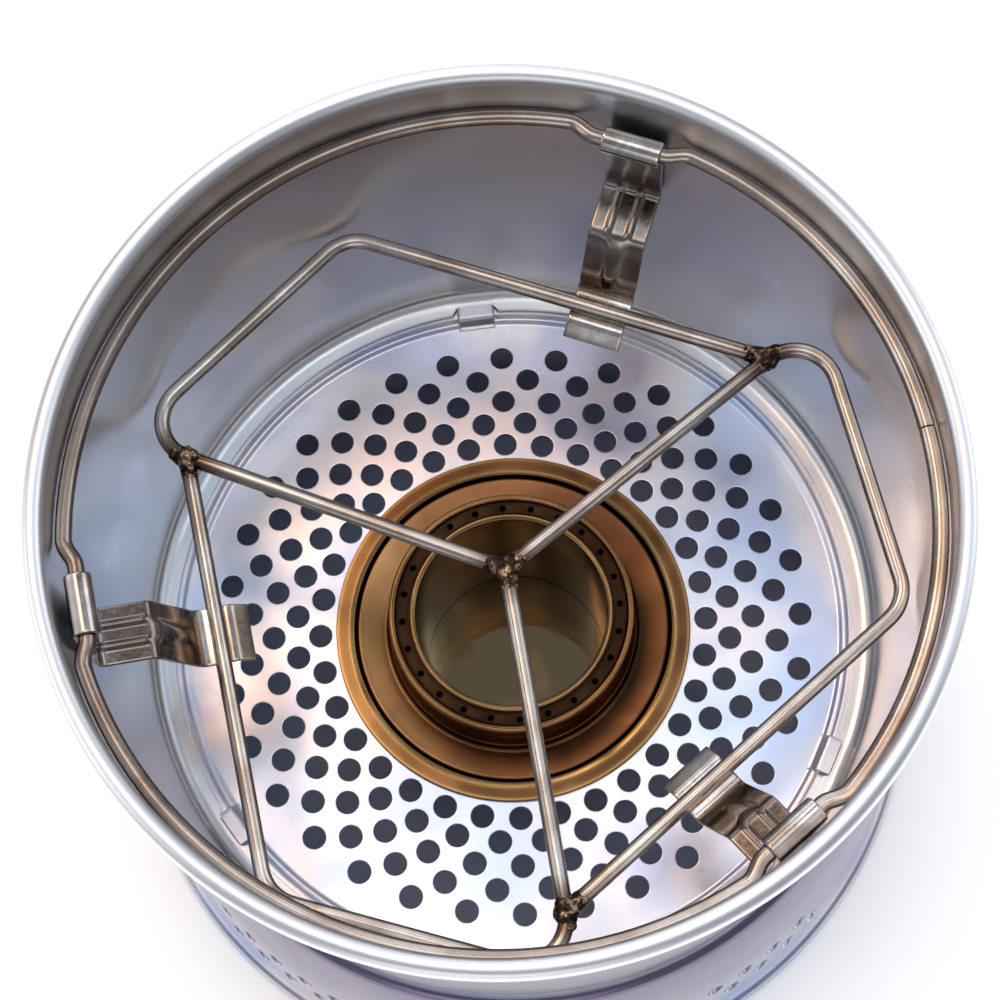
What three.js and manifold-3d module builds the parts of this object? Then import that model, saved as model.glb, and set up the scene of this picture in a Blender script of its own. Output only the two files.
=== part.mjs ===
// A two-part storm stove with a spirit burner, in millimetres, +Z up.
// The origin is on the ground, at the centre of the foot of the lower windshield.
import * as THREE from 'three';
import { mergeVertices } from 'three/addons/utils/BufferGeometryUtils.js';
import Module from 'manifold-3d';

const wasm = await Module();
wasm.setup();

// ---------------------------------------------------------------- driving dimensions
const gap = 0.3;               // clearance between pieces that touch or slide
const turns = 44;              // facets around the large round pieces

// lower windshield
const plateZ = 50;             // top face of the perforated plate above the ground
const sheet = 1.0;             // thickness of the aluminium sheet
const shoulderFillet = 2.6;    // outside radius of the turn from plate to skirt
const skirtSpread = 6.2;       // how far the skirt spreads from its shoulder to its rolled foot
const footBeadR = 2.1;         // half thickness of the rolled foot
const ribInset = 2.0;          // from the flange's edge in to the plate's raised ring
const ribHalf = 1.3;           // half the width of that ring
const ribRise = 0.6;           // height of that ring
const airInset = 3.4;          // from the burner's collar out to the first ring of air holes
const airRingStep = 5;         // from one ring of air holes to the next
const airMargin = 1.5;         // plain sheet left outside the last ring of air holes
const airPerRing = 32;         // air holes in each ring
const airHoleD = 4.8;          // diameter of an air hole
const airPhase = 2.0;          // degrees from +X to the first hole of the inner ring
const ventRows = 2;            // rows of draught vents low in the skirt
const ventHeight = 17.6;       // height of the upper row above the ground
const ventRowStep = 5.6;       // from one row of vents to the next
const ventD = 4.0;             // diameter of a draught vent
const ventPitch = 5.3;         // degrees from one vent to the next
const ventMid = 257;           // degrees at the middle of the rows of vents
const ventPerRow = 19;         // vents in each row
const tabAngle = 85;           // degrees at the first of three bayonet tabs
const tabWidth = 8;            // width of a bayonet tab
const tabReach = 3.0;          // how far a tab reaches out from the raised ring
const tabThick = 0.8;          // thickness of a tab's sheet

// upper windshield
const wallHeight = 92;         // from the plate's top face to the centre of the rim bead
const wallFootR = 76.6;        // inside radius of the wall just above its foot
const wallFlare = 5.8;         // how much wider the wall is just below the rim bead
const rimBeadR = 2.0;          // radius of the rolled rim
const flangeWidth = 4.6;       // how far the foot flange reaches in from the wall
const footBend = 3.2;          // inside radius of the bend from wall to flange

// wire rail that carries the pot supports
const wireR = 1.5;             // radius of the rail's wire and of the trivet's wires
const railDrop = 11.5;         // from the rim bead's centre down to the rail's centre
const hingeInset = 2.4;        // how far a straight hinge length lies inside the rail's circle
const railButt = 0;            // degrees at the butt of the rail's two ends
const railButtGap = 0.35;      // gap at that butt

// pot supports
const supportAngles = [60, 180, 300];
const supportSlides = [-0.7, 0.8, 0.2]; // how far each has slid along its hinge length
const stripThick = 0.8;        // thickness of the support's strip
const stripWidth = 11.7;       // width of the support's strip
const seatInward = 2.4;        // from the wire on the seat in to the seat's lip
const seatOutward = 4.6;       // from the wire on the seat out to the strip's steep length
const ledgeRise = 15.2;        // from the seat up to the ledge
const ledgeFall = 1.4;         // how much the ledge falls towards its inner edge
const kneeShare = 0.41;        // the ledge's inner edge, between the seat and the wall
const lipReach = 3.0;          // how far the lip reaches in from the seat
const lipDrop = 2.4;           // and how far it turns down
const ribThick = 0.5;          // height of the ledge's two stiffening ribs
const ribOffset = 2.0;         // from the strip's middle to a rib

// trivet
const trivetHeight = 45;       // trivet wire centre above the plate
const spokeAngle = 28;         // degrees at the first spoke
const bendR = 8.5;             // bend radius of a trivet wire
const nodeShare = 0.8565;      // an outer weld's distance from the axis, over the wall's radius
const reachShare = 1.0202;     // where a spoke's line meets its short side, over the wall's radius
const cornerAlong = 0.699;     // corner of the short and long sides, along the spoke
const cornerAcross = -0.6953;  // and across it, both over the wall's radius
const weldR = 2.2;             // radius of the weld bead at the centre
const nodeWeldR = 1.9;         // radius of the weld bead at an outer weld

// burner
const collarReach = 3.4;       // how far the collar reaches out from the burner's cup
const burnerDepth = 32;        // from the plate's top face down to the burner's base
const cupTopR = 34.2;          // outside radius of the cup at the plate
const cupTaper = 1.6;          // how much narrower the cup is at its base
const brass = 0.7;             // thickness of the burner's sheet
const galleryWidth = 5.7;      // from the open well out to the wall of the jet gallery
const galleryRise = 13.2;      // top of the gallery above the plate
const jets = 24;               // number of jets
const jetD = 1.3;              // diameter of a jet
const wellR = 19.9;            // inside radius of the open well

// ---------------------------------------------------------------- helpers
const rad = THREE.MathUtils.degToRad;
const group = new THREE.Group();

const finishes = {
  aluminium: { color: 0xc9cdd6, roughness: 0.32, metalness: 1 },
  steel: { color: 0x9a8c80, roughness: 0.3, metalness: 1 },
  brass: { color: 0x8a5a34, roughness: 0.38, metalness: 1 },
  cotton: { color: 0x6d6458, roughness: 0.95, metalness: 0 },
};

/** A closed geometry as a manifold solid. */
function solid(geometry) {
  const bare = geometry.clone();
  for (const name of Object.keys(bare.attributes)) {
    if (name !== 'position') bare.deleteAttribute(name);
  }
  const merged = mergeVertices(bare, 1e-4);
  const mesh = new wasm.Mesh({
    numProp: 3,
    vertProperties: new Float32Array(merged.attributes.position.array),
    triVerts: new Uint32Array(merged.index.array),
  });
  mesh.merge();
  return new wasm.Manifold(mesh);
}

/** A manifold solid as a three.js geometry. */
function geometryOf(manifold) {
  const mesh = manifold.getMesh();
  const geometry = new THREE.BufferGeometry();
  geometry.setAttribute('position', new THREE.BufferAttribute(mesh.vertProperties, 3));
  geometry.setIndex(new THREE.BufferAttribute(mesh.triVerts, 1));
  geometry.computeVertexNormals();
  return geometry;
}

/** Adds one named piece to the stove. */
function piece(name, manifold, finish) {
  const mesh = new THREE.Mesh(geometryOf(manifold), new THREE.MeshStandardMaterial(finishes[finish]));
  mesh.name = name;
  group.add(mesh);
}

/** Points of an arc in the (r, z) half plane, from one angle to another, in degrees. */
function arc(r, z, radius, from, to, steps) {
  return Array.from({ length: steps + 1 }, (_, i) => {
    const a = rad(from + ((to - from) * i) / steps);
    return [r + radius * Math.cos(a), z + radius * Math.sin(a)];
  });
}

/** Revolves a closed (r, z) outline about the Z axis. */
function revolve(outline, segments = turns) {
  const points = outline.map(([r, z]) => new THREE.Vector2(r, z));
  const onAxis = outline[0][0] === 0 && outline.at(-1)[0] === 0;
  if (!onAxis) points.push(points[0].clone());
  const area = THREE.ShapeUtils.area(points);
  if (area < 0) points.reverse();
  const geometry = new THREE.LatheGeometry(points, segments);
  geometry.rotateX(Math.PI / 2);
  return solid(geometry);
}

/** A straight prism of a polygon, standing on z = 0. */
function prism(polygon, height) {
  const shape = new THREE.Shape(polygon.map(([x, y]) => new THREE.Vector2(x, y)));
  return new THREE.ExtrudeGeometry(shape, { depth: height, bevelEnabled: false, steps: 1 });
}

/** A cutter of regular section along +Z, centred on the origin. */
function drill(diameter, length, sides) {
  const corner = Array.from({ length: sides }, (_, i) => rad((360 * (i + 0.5)) / sides));
  const ring = corner.map((a) => [(diameter / 2) * Math.cos(a), (diameter / 2) * Math.sin(a)]);
  return prism(ring, length).translate(0, 0, -length / 2);
}

/** A round wire along a curve. */
function wire(curve, radius, steps, sides = 6) {
  const section = new THREE.Shape(
    Array.from({ length: sides }, (_, i) => {
      const a = (2 * Math.PI * i) / sides;
      return new THREE.Vector2(radius * Math.cos(a), radius * Math.sin(a));
    }),
  );
  return solid(new THREE.ExtrudeGeometry(section, { extrudePath: curve, steps, bevelEnabled: false }));
}

/** Joins a list of solids into one. */
function join(solids) {
  return solids.reduce((sum, next) => sum.add(next));
}

// ---------------------------------------------------------------- lower windshield
const plateUnder = plateZ - sheet;
const shoulderR = wallFootR + sheet;
const flangeR = wallFootR - flangeWidth;
const ribR = flangeR - ribInset;
const burnerHoleR = cupTopR + 2 * gap;
const collarR = cupTopR + collarReach;
const airRingFirst = collarR + airInset;
const airRingLast = ribR - ribHalf - airMargin - airHoleD / 2;
const airRings = 1 + Math.floor((airRingLast - airRingFirst) / airRingStep);
const skirtTopR = shoulderR + shoulderFillet;
const skirtFootR = skirtTopR + skirtSpread;
const skirtTopZ = plateZ - shoulderFillet;
const skirtEndZ = 2 * footBeadR;

function lowerOutline() {
  const top = [
    [burnerHoleR, plateZ],
    [ribR - ribHalf, plateZ],
    [ribR - ribHalf / 3, plateZ + ribRise],
    [ribR + ribHalf / 3, plateZ + ribRise],
    [ribR + ribHalf, plateZ],
  ];
  const shoulder = arc(shoulderR, skirtTopZ, shoulderFillet, 90, 10, 4);
  const foot = [
    [skirtFootR + footBeadR * 0.35, skirtEndZ],
    [skirtFootR + footBeadR, footBeadR * 1.4],
    [skirtFootR + footBeadR, footBeadR * 0.6],
    [skirtFootR + footBeadR * 0.5, 0],
    [skirtFootR - footBeadR * 0.5, 0],
    [skirtFootR - footBeadR, footBeadR * 0.6],
    [skirtFootR - footBeadR, footBeadR * 1.4],
  ];
  const inner = [
    [skirtFootR - sheet * 0.65, skirtEndZ],
    [skirtTopR - sheet, skirtTopZ],
    [shoulderR - sheet * 0.3, plateUnder],
    [ribR + ribHalf, plateUnder],
    [burnerHoleR, plateUnder],
  ];
  return [...top, ...shoulder, ...foot, ...inner];
}

function airHoles() {
  const cutters = [];
  for (let ring = 0; ring < airRings; ring += 1) {
    for (let i = 0; i < airPerRing; i += 1) {
      const a = rad(airPhase + ((i + (ring % 2) / 2) * 360) / airPerRing);
      const r = airRingFirst + ring * airRingStep;
      const cutter = drill(airHoleD, 4 * sheet, 6).rotateZ(a);
      cutters.push(solid(cutter.translate(r * Math.cos(a), r * Math.sin(a), plateZ)));
    }
  }
  return join(cutters);
}

function vents() {
  const slope = skirtSpread / (skirtTopZ - skirtEndZ);
  const cutters = [];
  for (let row = 0; row < ventRows; row += 1) {
    const z = ventHeight - row * ventRowStep;
    const r = skirtTopR + slope * (skirtTopZ - z) - sheet / 2;
    for (let i = 0; i < ventPerRow; i += 1) {
      const a = rad(ventMid + (i - (ventPerRow - 1) / 2 + row / 2) * ventPitch);
      const cutter = drill(ventD, 6 * sheet, 6).rotateY(Math.PI / 2 + Math.atan(slope));
      cutters.push(solid(cutter.translate(r, 0, z).rotateZ(a)));
    }
  }
  return join(cutters);
}

/** A tab that rises from the raised ring and reaches out over the flange. */
function tab(angle) {
  const under = plateZ + gap + sheet + gap;
  const inner = ribR - ribHalf;
  const outline = [
    [inner, plateZ - sheet / 2],
    [inner + 1.2, plateZ - sheet / 2],
    [inner + 1.2, under],
    [ribR + tabReach, under],
    [ribR + tabReach, under + tabThick],
    [inner + 0.6, under + tabThick],
    [inner, under],
  ];
  const body = prism(outline, tabWidth).translate(0, 0, -tabWidth / 2);
  return solid(body.rotateX(Math.PI / 2).rotateZ(rad(angle)));
}

const tabAngles = [0, 120, 240].map((turn) => tabAngle + turn);
const lower = join([revolve(lowerOutline()), ...tabAngles.map(tab)]);
piece('lower_windshield', lower.subtract(airHoles().add(vents())), 'aluminium');

// ---------------------------------------------------------------- upper windshield
const flangeZ = plateZ + gap;
const rimZ = plateZ + wallHeight;
const wallTopR = wallFootR + wallFlare;
const wallSlope = wallFlare / (wallHeight - rimBeadR - footBend);

/** Inside radius of the wall at a height above the plate. */
function wallInside(height) {
  return wallFootR + wallSlope * (height - footBend);
}

function upperOutline() {
  const beadMid = wallTopR + sheet / 2 + rimBeadR * 0.25;
  const innerTurn = arc(wallFootR - footBend, flangeZ + sheet + footBend, footBend, 0, -90, 4);
  const outerTurn = arc(wallFootR - footBend, flangeZ + sheet + footBend, footBend + sheet, -90, 0, 4);
  return [
    [flangeR, flangeZ],
    ...outerTurn,
    [wallTopR + sheet, rimZ - rimBeadR * 0.9],
    ...arc(beadMid, rimZ, rimBeadR, -45, 225, 9),
    [wallTopR, rimZ - rimBeadR * 0.9],
    ...innerTurn,
    [flangeR, flangeZ + sheet],
  ];
}

function flangeNotch(angle) {
  const half = tabWidth / 2 + 2 * gap;
  const deep = ribR + tabReach + 2 * gap;
  const outline = [
    [flangeR - 3, -half],
    [deep, -half],
    [deep, half],
    [flangeR - 3, half],
  ];
  return solid(prism(outline, 3 * sheet).translate(0, 0, flangeZ - sheet).rotateZ(rad(angle)));
}

const notches = join(tabAngles.map(flangeNotch));
piece('upper_windshield', revolve(upperOutline()).subtract(notches), 'aluminium');

// ---------------------------------------------------------------- wire rail
const railHeight = wallHeight - railDrop;
const railZ = plateZ + railHeight;
const railR = wallInside(railHeight) - gap - wireR;
const hingeR = railR - hingeInset;
const slideRoom = 1.2;
const straightHalf = stripWidth / 2 + slideRoom;
const jogLength = 5.0;

/** The rail: a circle against the wall with a straight inward length at each hinge. */
class RailCurve extends THREE.Curve {
  getPoint(t, target = new THREE.Vector3()) {
    const butt = railButtGap / railR;
    const angle = rad(railButt) + butt / 2 + t * (2 * Math.PI - butt);
    let radius = railR;
    for (const station of supportAngles.map(rad)) {
      const off = Math.atan2(Math.sin(angle - station), Math.cos(angle - station));
      const across = Math.abs(hingeR * Math.tan(THREE.MathUtils.clamp(off, -1, 1)));
      if (across < straightHalf + jogLength) {
        const blend = THREE.MathUtils.smoothstep(across, straightHalf, straightHalf + jogLength);
        radius = THREE.MathUtils.lerp(hingeR / Math.cos(off), railR, blend);
      }
    }
    return target.set(radius * Math.cos(angle), radius * Math.sin(angle), railZ);
  }
}

piece('support_rail', wire(new RailCurve(), wireR, 120), 'steel');

// ---------------------------------------------------------------- pot supports
const barrelInside = wireR + gap;
const barrelMid = barrelInside + stripThick / 2;
const seatTop = trivetHeight - wireR - gap;
const seatMid = seatTop - stripThick / 2;

const ledgeHeight = seatMid + ledgeRise;
const backTopR = hingeR + barrelMid;
const backFootR = wallInside(ledgeHeight) - 2 * gap - stripThick / 2;
const wallAtTrivet = wallInside(trivetHeight);
const nodeR = nodeShare * wallAtTrivet;
const cornerX = cornerAlong * wallAtTrivet;
const cornerY = cornerAcross * wallAtTrivet;
const wireOnSeatR = (nodeR * Math.sin(rad(60)) - cornerY) / 2;
const seatInner = wireOnSeatR - seatInward;
const seatOuter = wireOnSeatR + seatOutward;
const kneeR = THREE.MathUtils.lerp(seatOuter, backFootR, kneeShare);

/** A line in the (r, z) half plane, with each inner corner rounded to its radius. */
function roundedLine(corners, radii, steps) {
  const points = corners.map(([r, z]) => new THREE.Vector2(r, z));
  const line = [corners[0]];
  radii.forEach((radius, i) => {
    const into = points[i + 1].clone().sub(points[i]).normalize();
    const out = points[i + 2].clone().sub(points[i + 1]).normalize();
    const turn = Math.atan2(into.cross(out), into.dot(out));
    const cut = radius * Math.tan(Math.abs(turn) / 2);
    const start = points[i + 1].clone().addScaledVector(into, -cut);
    const centre = new THREE.Vector2(-into.y, into.x).multiplyScalar(Math.sign(turn) * radius).add(start);
    for (let k = 0; k <= steps; k += 1) {
      line.push(start.clone().rotateAround(centre, (turn * k) / steps).toArray());
    }
  });
  line.push(corners.at(-1));
  return line;
}

/** Middle line of a support's strip, as (radius, height above the plate). */
function stripLine() {
  const roll = arc(hingeR, railHeight, barrelMid, 290, 12, 12);
  const down = roundedLine([
    [backTopR, railHeight],
    [backFootR, ledgeHeight],
    [kneeR, ledgeHeight - ledgeFall],
    [seatOuter, seatMid],
    [seatInner, seatMid],
    [seatInner - lipReach, seatMid - lipDrop],
  ], [1.8, 1.5, 2.6, 1.4], 3);
  return [...roll, ...down];
}

/** An outline that follows a line, from one offset to another on its left. */
function ribbon(line, left, right) {
  const side = (offset) => line.map(([r, z], i) => {
    const [r0, z0] = line[Math.max(i - 1, 0)];
    const [r1, z1] = line[Math.min(i + 1, line.length - 1)];
    const before = new THREE.Vector2(r - r0, z - z0).normalize();
    const after = new THREE.Vector2(r1 - r, z1 - z).normalize();
    const along = before.clone().add(after).normalize();
    const stretch = 1 / Math.max(along.dot(i ? before : after), 0.6);
    return [r - along.y * offset * stretch, z + along.x * offset * stretch];
  });
  return [...side(left), ...side(right).reverse()];
}

/** Extrudes an (r, z) outline across the strip, centred on its middle. */
function acrossStrip(outline, from, to) {
  const polygon = outline.map(([r, z]) => [r, plateZ + z]);
  const body = prism(polygon, to - from).rotateX(Math.PI / 2);
  return body.translate(0, to, 0);
}

function potSupport(angle, slide) {
  const half = stripWidth / 2;
  const line = stripLine();
  const strip = ribbon(line, stripThick / 2, -stripThick / 2);
  const body = solid(acrossStrip(strip, slide - half, slide + half).rotateZ(rad(angle)));
  const along = (share) => [
    THREE.MathUtils.lerp(backFootR, kneeR, share),
    ledgeHeight - ledgeFall * share,
  ];
  const rib = ribbon([along(0.3), along(0.85)], -stripThick / 4, -stripThick / 2 - ribThick);
  const ribs = [slide - ribOffset, slide + ribOffset].map((mid) => (
    solid(acrossStrip(rib, mid - ribThick, mid + ribThick).rotateZ(rad(angle)))
  ));
  return join([body, ...ribs]);
}

supportAngles.forEach((angle, i) => {
  piece(`pot_support_${i + 1}`, potSupport(angle, supportSlides[i]), 'steel');
});

// ---------------------------------------------------------------- trivet
const trivetZ = plateZ + trivetHeight;

/** A path through corners, each rounded by an arc-like bend. */
function bentPath(corners, radius) {
  const path = new THREE.CurvePath();
  let last = corners[0];
  for (let i = 1; i < corners.length - 1; i += 1) {
    const into = corners[i].clone().sub(corners[i - 1]).normalize();
    const out = corners[i + 1].clone().sub(corners[i]).normalize();
    const turn = into.angleTo(out);
    const cut = radius * Math.tan(turn / 2);
    const start = corners[i].clone().addScaledVector(into, -cut);
    const end = corners[i].clone().addScaledVector(out, cut);
    const pull = (4 / 3) * Math.tan(turn / 4) * radius;
    path.add(new THREE.LineCurve3(last, start));
    path.add(new THREE.CubicBezierCurve3(
      start,
      start.clone().addScaledVector(into, pull),
      end.clone().addScaledVector(out, -pull),
      end,
    ));
    last = end;
  }
  path.add(new THREE.LineCurve3(last, corners.at(-1)));
  return path;
}

/** A weld bead: a faceted ball at a point of the trivet's plane. */
function bead(x, y, radius) {
  return solid(new THREE.IcosahedronGeometry(radius, 1).translate(x, y, trivetZ));
}

function trivetWire(index) {
  const spokeStart = index === 0 ? 0.5 : weldR + gap;
  const nextSpoke = new THREE.Vector2(Math.cos(rad(-120)), Math.sin(rad(-120)));
  const node = nextSpoke.clone().multiplyScalar(nodeR);
  const towards = node.clone().sub(new THREE.Vector2(cornerX, cornerY)).normalize();
  const clear = nodeWeldR + wireR + gap;
  const end = node.clone().addScaledVector(towards, -clear / Math.abs(towards.cross(nextSpoke)));
  const path = bentPath([
    new THREE.Vector3(spokeStart, 0, trivetZ),
    new THREE.Vector3(reachShare * wallAtTrivet, 0, trivetZ),
    new THREE.Vector3(cornerX, cornerY, trivetZ),
    new THREE.Vector3(end.x, end.y, trivetZ),
  ], bendR);
  const parts = [wire(path, wireR, 48), bead(end.x, end.y, nodeWeldR)];
  if (index === 0) parts.push(bead(0, 0, weldR));
  return join(parts).rotate([0, 0, spokeAngle + 120 * index]);
}

[0, 1, 2].forEach((index) => piece(`trivet_wire_${index + 1}`, trivetWire(index), 'steel'));

// ---------------------------------------------------------------- burner
const burnerTurns = 32;
const cupFootR = cupTopR - cupTaper;
const galleryR = wellR + galleryWidth;
const jetRingR = wellR + galleryWidth / 2;
const cupBaseZ = plateZ - burnerDepth;
const collarZ = plateZ + gap;
const lipR = cupTopR - brass;
const ledgeZ = collarZ + brass;

function cupOutline() {
  return [
    [0, cupBaseZ],
    [cupFootR - 2.4, cupBaseZ],
    [cupFootR - 0.7, cupBaseZ + 0.7],
    [cupFootR, cupBaseZ + 2.4],
    [cupTopR, collarZ],
    [collarR, collarZ],
    [collarR, collarZ + brass],
    [lipR + 0.5, collarZ + brass + 0.4],
    [lipR, collarZ + brass],
    [cupFootR - brass, cupBaseZ + 2.4],
    [cupFootR - 2.6, cupBaseZ + brass],
    [0, cupBaseZ + brass],
  ];
}

/** The pressed top: skirt, ledge, outer wall, jet channel and inner lip. */
function topOutline() {
  const top = plateZ + galleryRise;
  const ledgeR = lipR - gap - 0.55;
  const sleeveOut = wellR + brass;
  const channel = top - 1.2;
  return [
    [ledgeR - brass, ledgeZ - 5.5],
    [ledgeR + 0.4, ledgeZ - 5.5],
    [ledgeR, ledgeZ - 0.3],
    [ledgeR - 0.4, ledgeZ],
    [galleryR + 0.6, ledgeZ - 0.2],
    [galleryR, top - 1.0],
    [galleryR - 0.5, top - 0.2],
    [galleryR - 1.1, top - 0.2],
    [galleryR - 1.6, channel],
    [sleeveOut + 1.4, channel],
    [sleeveOut + gap + 0.5, channel + 0.3],
    [sleeveOut + gap, channel - 0.4],
    [sleeveOut + gap, channel - brass - 0.6],
    [galleryR - 1.6, channel - brass],
    [galleryR - brass, channel - brass - 1.0],
    [galleryR - brass + 0.6, ledgeZ - brass - 0.2],
    [ledgeR - brass, ledgeZ - brass],
  ];
}

function jetCutters() {
  const cutters = [];
  for (let i = 0; i < jets; i += 1) {
    const cutter = drill(jetD, 4, 6).translate(jetRingR, 0, plateZ + galleryRise - 1.2);
    cutters.push(solid(cutter.rotateZ((2 * Math.PI * (i + 0.5)) / jets)));
  }
  return join(cutters);
}

/** The inner wall of the burner, with a rolled lip and four openings at its foot. */
function sleeve() {
  const top = plateZ + galleryRise;
  const outline = [
    [wellR, cupBaseZ + brass + gap],
    [wellR + brass, cupBaseZ + brass + gap],
    [wellR + brass, top - 0.9 + gap],
    [wellR + brass + 0.6, top - 0.6 + gap],
    [wellR + brass * 0.6, top + 0.2],
    [wellR, top - 0.5],
  ];
  const foot = prism([[-2.5, -2.5], [2.5, -2.5], [2.5, 2.5], [-2.5, 2.5]], 60).translate(0, 0, -30);
  const bars = [45, 135].map((angle) => {
    const bar = foot.clone().rotateX(Math.PI / 2).translate(0, 0, cupBaseZ + brass + gap).rotateZ(rad(angle));
    return solid(bar);
  });
  return revolve(outline, burnerTurns).subtract(join(bars));
}

function wickOutline() {
  const inner = wellR + brass + gap;
  const low = cupBaseZ + brass + gap;
  return [
    [inner, low],
    [cupFootR - 2.6 - gap, low],
    [cupFootR - brass - 2 * gap, low + 2.6],
    [cupFootR - brass - 2 * gap, plateZ - 10],
    [inner, plateZ - 10],
  ];
}

piece('burner_cup', revolve(cupOutline(), burnerTurns), 'brass');
piece('burner_top', revolve(topOutline(), burnerTurns).subtract(jetCutters()), 'brass');
piece('burner_sleeve', sleeve(), 'brass');
piece('burner_wick', revolve(wickOutline(), burnerTurns), 'cotton');

export default group;
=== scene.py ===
# %% [markdown]
# # A storm stove with a spirit burner
# The stove is two spun aluminium windshields, one on the other. An open brass burner hangs in the
# perforated plate of the lower one. Inside the upper one, three steel supports swing on a wire
# rail, and a welded wire trivet rests on them. The CAD frame fixes every size and every motion.
# This file builds finer surfaces round the same sizes, in millimetres, and places them once.

import bmesh
import bpy
import numpy as np
from mathutils import Matrix, Vector


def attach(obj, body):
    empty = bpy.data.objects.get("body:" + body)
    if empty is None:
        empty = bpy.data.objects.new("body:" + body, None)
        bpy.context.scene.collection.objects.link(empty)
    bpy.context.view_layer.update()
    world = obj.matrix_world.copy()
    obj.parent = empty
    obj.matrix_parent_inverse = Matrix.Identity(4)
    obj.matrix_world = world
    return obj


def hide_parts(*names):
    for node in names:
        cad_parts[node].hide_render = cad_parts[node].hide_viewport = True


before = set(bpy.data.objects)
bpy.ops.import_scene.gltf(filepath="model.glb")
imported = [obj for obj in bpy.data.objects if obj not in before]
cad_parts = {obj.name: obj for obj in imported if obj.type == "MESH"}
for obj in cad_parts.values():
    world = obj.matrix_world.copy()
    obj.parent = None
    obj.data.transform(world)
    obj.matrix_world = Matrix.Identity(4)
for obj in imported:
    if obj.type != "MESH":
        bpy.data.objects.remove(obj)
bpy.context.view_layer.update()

MM = 0.001

# %% [markdown]
# ## The camera
# The view looks down into the stove from nearly overhead, tipped a little to one side. A long lens
# keeps the round rim round. Azimuth, elevation, roll and distance say where the camera stands
# round a point on the plate, as one would note down where a real camera was set up.

# %% Place the camera
PLATE = 50.0


def camera(aim, distance, azimuth, elevation, roll, lens):
    """A camera at a distance from aim, turned about its own line of sight by roll, in degrees."""
    az, el, ro = np.radians([azimuth, elevation, roll])
    back = np.array([np.cos(el) * np.cos(az), np.cos(el) * np.sin(az), np.sin(el)])
    level = np.array([-np.sin(az), np.cos(az), 0.0])
    right = np.cos(ro) * level + np.sin(ro) * np.cross(back, level)
    up = np.cross(back, right)
    place = np.array(aim) + distance * back
    data = bpy.data.cameras.new("camera")
    data.lens, data.sensor_width, data.clip_start = lens, 36.0, 0.01
    obj = bpy.data.objects.new("camera", data)
    turn = Matrix(np.column_stack([right, up, back]).tolist()).to_4x4()
    obj.matrix_world = Matrix.Translation(Vector(place * MM)) @ turn
    bpy.context.scene.collection.objects.link(obj)
    bpy.context.scene.camera = obj
    return place


stand = camera(
    aim=(2.93, 28.33, PLATE), distance=548.08, azimuth=-95.0, elevation=72.465,
    roll=-6.803, lens=91.34,
)
print("camera stands at, mm:", stand.round(1))

# %% [markdown]
# ## Surfaces from grids
# Every piece here is a grid: a profile turned about the axis, or a section carried along a path.
# One helper makes the faces of a grid, and another joins several grids into one closed mesh,
# merges the points that they share, and smooths all but the sharp edges. Grids keep the faces
# even, which a boolean cut would not.

# %% Helpers: grids to a mesh
def quads(rows, cols, wrap_rows=False, wrap_cols=False):
    """Corner numbers of the quads between the points of a grid, row by row."""
    i = np.arange(rows - (not wrap_rows))[:, None]
    j = np.arange(cols - (not wrap_cols))[None, :]
    down, along = (i + 1) % rows, (j + 1) % cols
    corners = [i * cols + j, i * cols + along, down * cols + along, down * cols + j]
    return np.stack([c + 0 * i + 0 * j for c in corners], -1)


def mesh_object(name, patches, smooth=32.0, merge=1e-3):
    """One object from patches of (points in mm, quads): shared points merge, faces turn out."""
    points, faces, count = [], [], 0
    for xyz, quad in patches:
        flat = np.asarray(xyz, float).reshape(-1, 3)
        points.append(flat)
        faces.append(quad.reshape(-1, 4) + count)
        count += len(flat)
    mesh = bpy.data.meshes.new(name)
    mesh.from_pydata((np.concatenate(points) * MM).tolist(), [], np.concatenate(faces).tolist())
    bm = bmesh.new()
    bm.from_mesh(mesh)
    bmesh.ops.remove_doubles(bm, verts=bm.verts, dist=merge * MM)
    bmesh.ops.dissolve_degenerate(bm, edges=bm.edges, dist=1e-5 * MM)
    bmesh.ops.recalc_face_normals(bm, faces=bm.faces)
    open_edges = sum(not e.is_manifold for e in bm.edges)
    bm.to_mesh(mesh)
    bm.free()
    mesh.shade_smooth()
    mesh.set_sharp_from_angle(angle=np.radians(smooth))
    obj = bpy.data.objects.new(name, mesh)
    bpy.context.scene.collection.objects.link(obj)
    print(f"{name}: {len(mesh.polygons)} faces, {open_edges} open edges")
    return obj


def keep(obj, body, slot, material, *nodes):
    """Ride a piece on its body with its material, and hide the CAD nodes it stands for; slot is not
    used.
    """
    obj.data.materials.clear()
    obj.data.materials.append(material)
    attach(obj, body)
    if nodes:
        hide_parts(*nodes)


print("quads in a grid of 3 by 4 points:", quads(3, 4).reshape(-1, 4).shape[0])

# %% Helpers: profiles, lathes and sweeps
def rounded(corners, radii, steps=6, guard=0.3):
    """A line whose inner corners become arcs, each with a guard point on either side."""
    p = np.asarray(corners, float)
    line = [p[:1]]
    for i, radius in enumerate(radii, 1):
        a, b = p[i] - p[i - 1], p[i + 1] - p[i]
        a, b = a / np.hypot(*a), b / np.hypot(*b)
        turn = np.arctan2(a[0] * b[1] - a[1] * b[0], a @ b)
        if radius == 0 or abs(turn) < 1e-6:
            line.append(p[i:i + 1])
            continue
        cut = radius * np.tan(abs(turn) / 2)
        start = p[i] - a * cut
        normal = np.sign(turn) * np.array([-a[1], a[0]])
        t = np.linspace(0, abs(turn), steps + 1)[:, None]
        arc = start + radius * (np.sin(t) * a + (1 - np.cos(t)) * normal)
        hold = guard * radius
        line += [start - a * hold, arc, arc[-1] + b * hold]
    line.append(p[-1:])
    return np.concatenate([np.atleast_2d(x) for x in line])


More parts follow.
